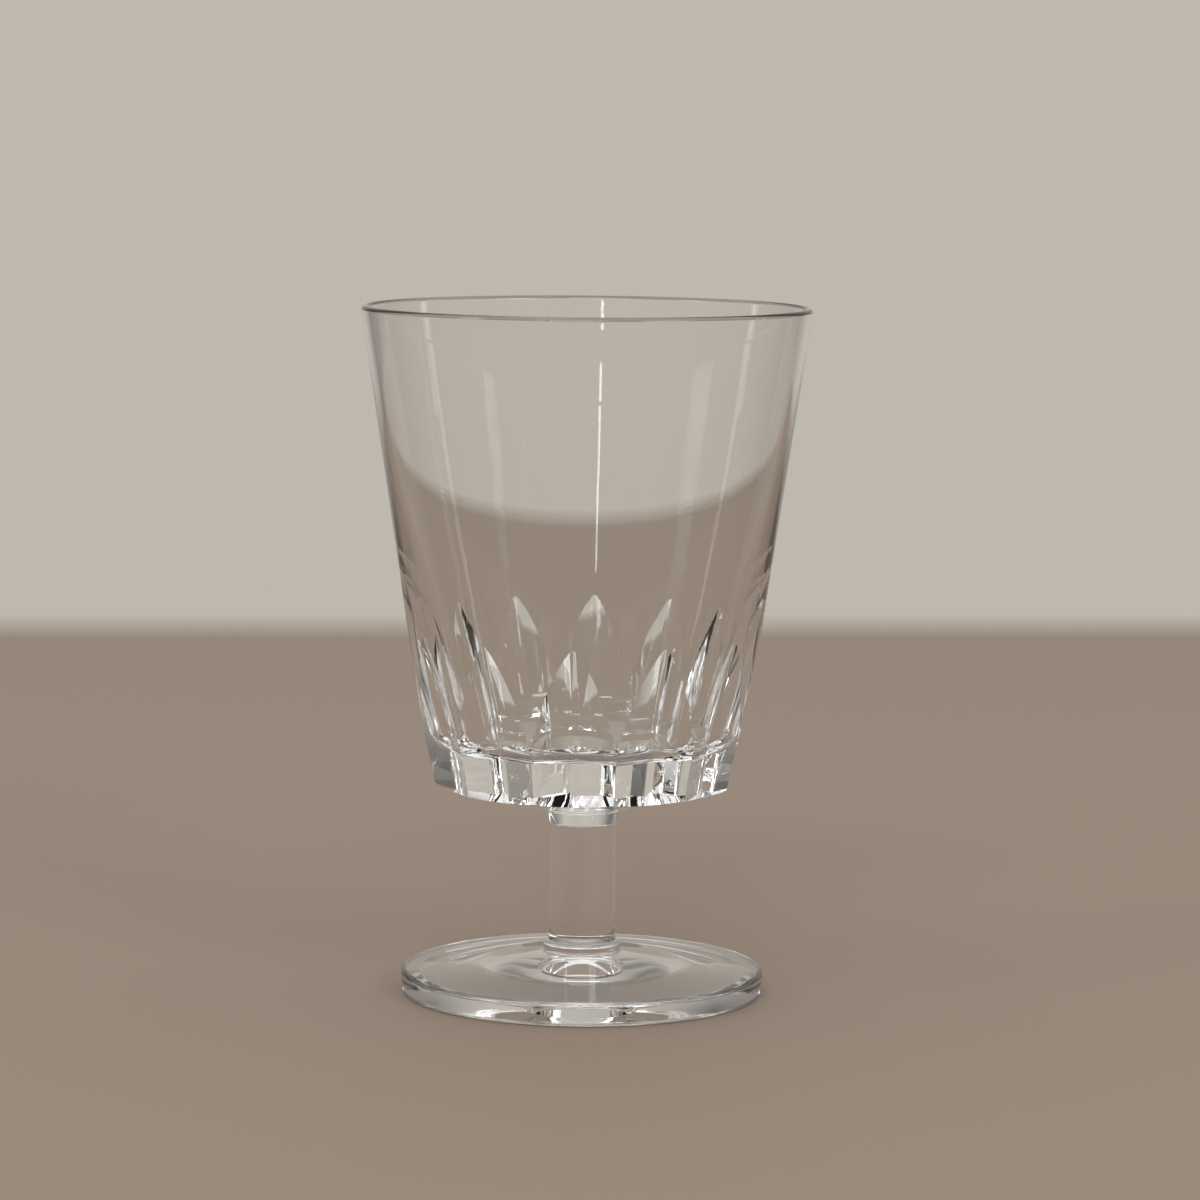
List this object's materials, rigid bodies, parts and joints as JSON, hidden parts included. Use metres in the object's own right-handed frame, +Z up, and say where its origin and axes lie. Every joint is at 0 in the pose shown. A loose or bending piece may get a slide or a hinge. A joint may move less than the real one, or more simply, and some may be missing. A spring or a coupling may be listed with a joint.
{
  "type": "sherbet glass",
  "caption": "Clear footed sherbet glass with a tapered bowl, hollow flutes cut round its thick base, a short plain round stem and a shallow flared foot that is slightly hollow underneath.",
  "frame": {"origin": "centre of the ring that the foot stands on", "axes": "+Z up along the glass's axis, -Y towards the front, where one flute faces the viewer, +X to the viewer's right"},
  "size_m": [0.075, 0.075, 0.1155],
  "materials": {
    "clear_glass": "clear colourless crystal, polished"
  },
  "bodies": {
    "root": {"foot": "clear_glass", "stem": "clear_glass", "bowl": "clear_glass"}
  },
  "joints": []
}
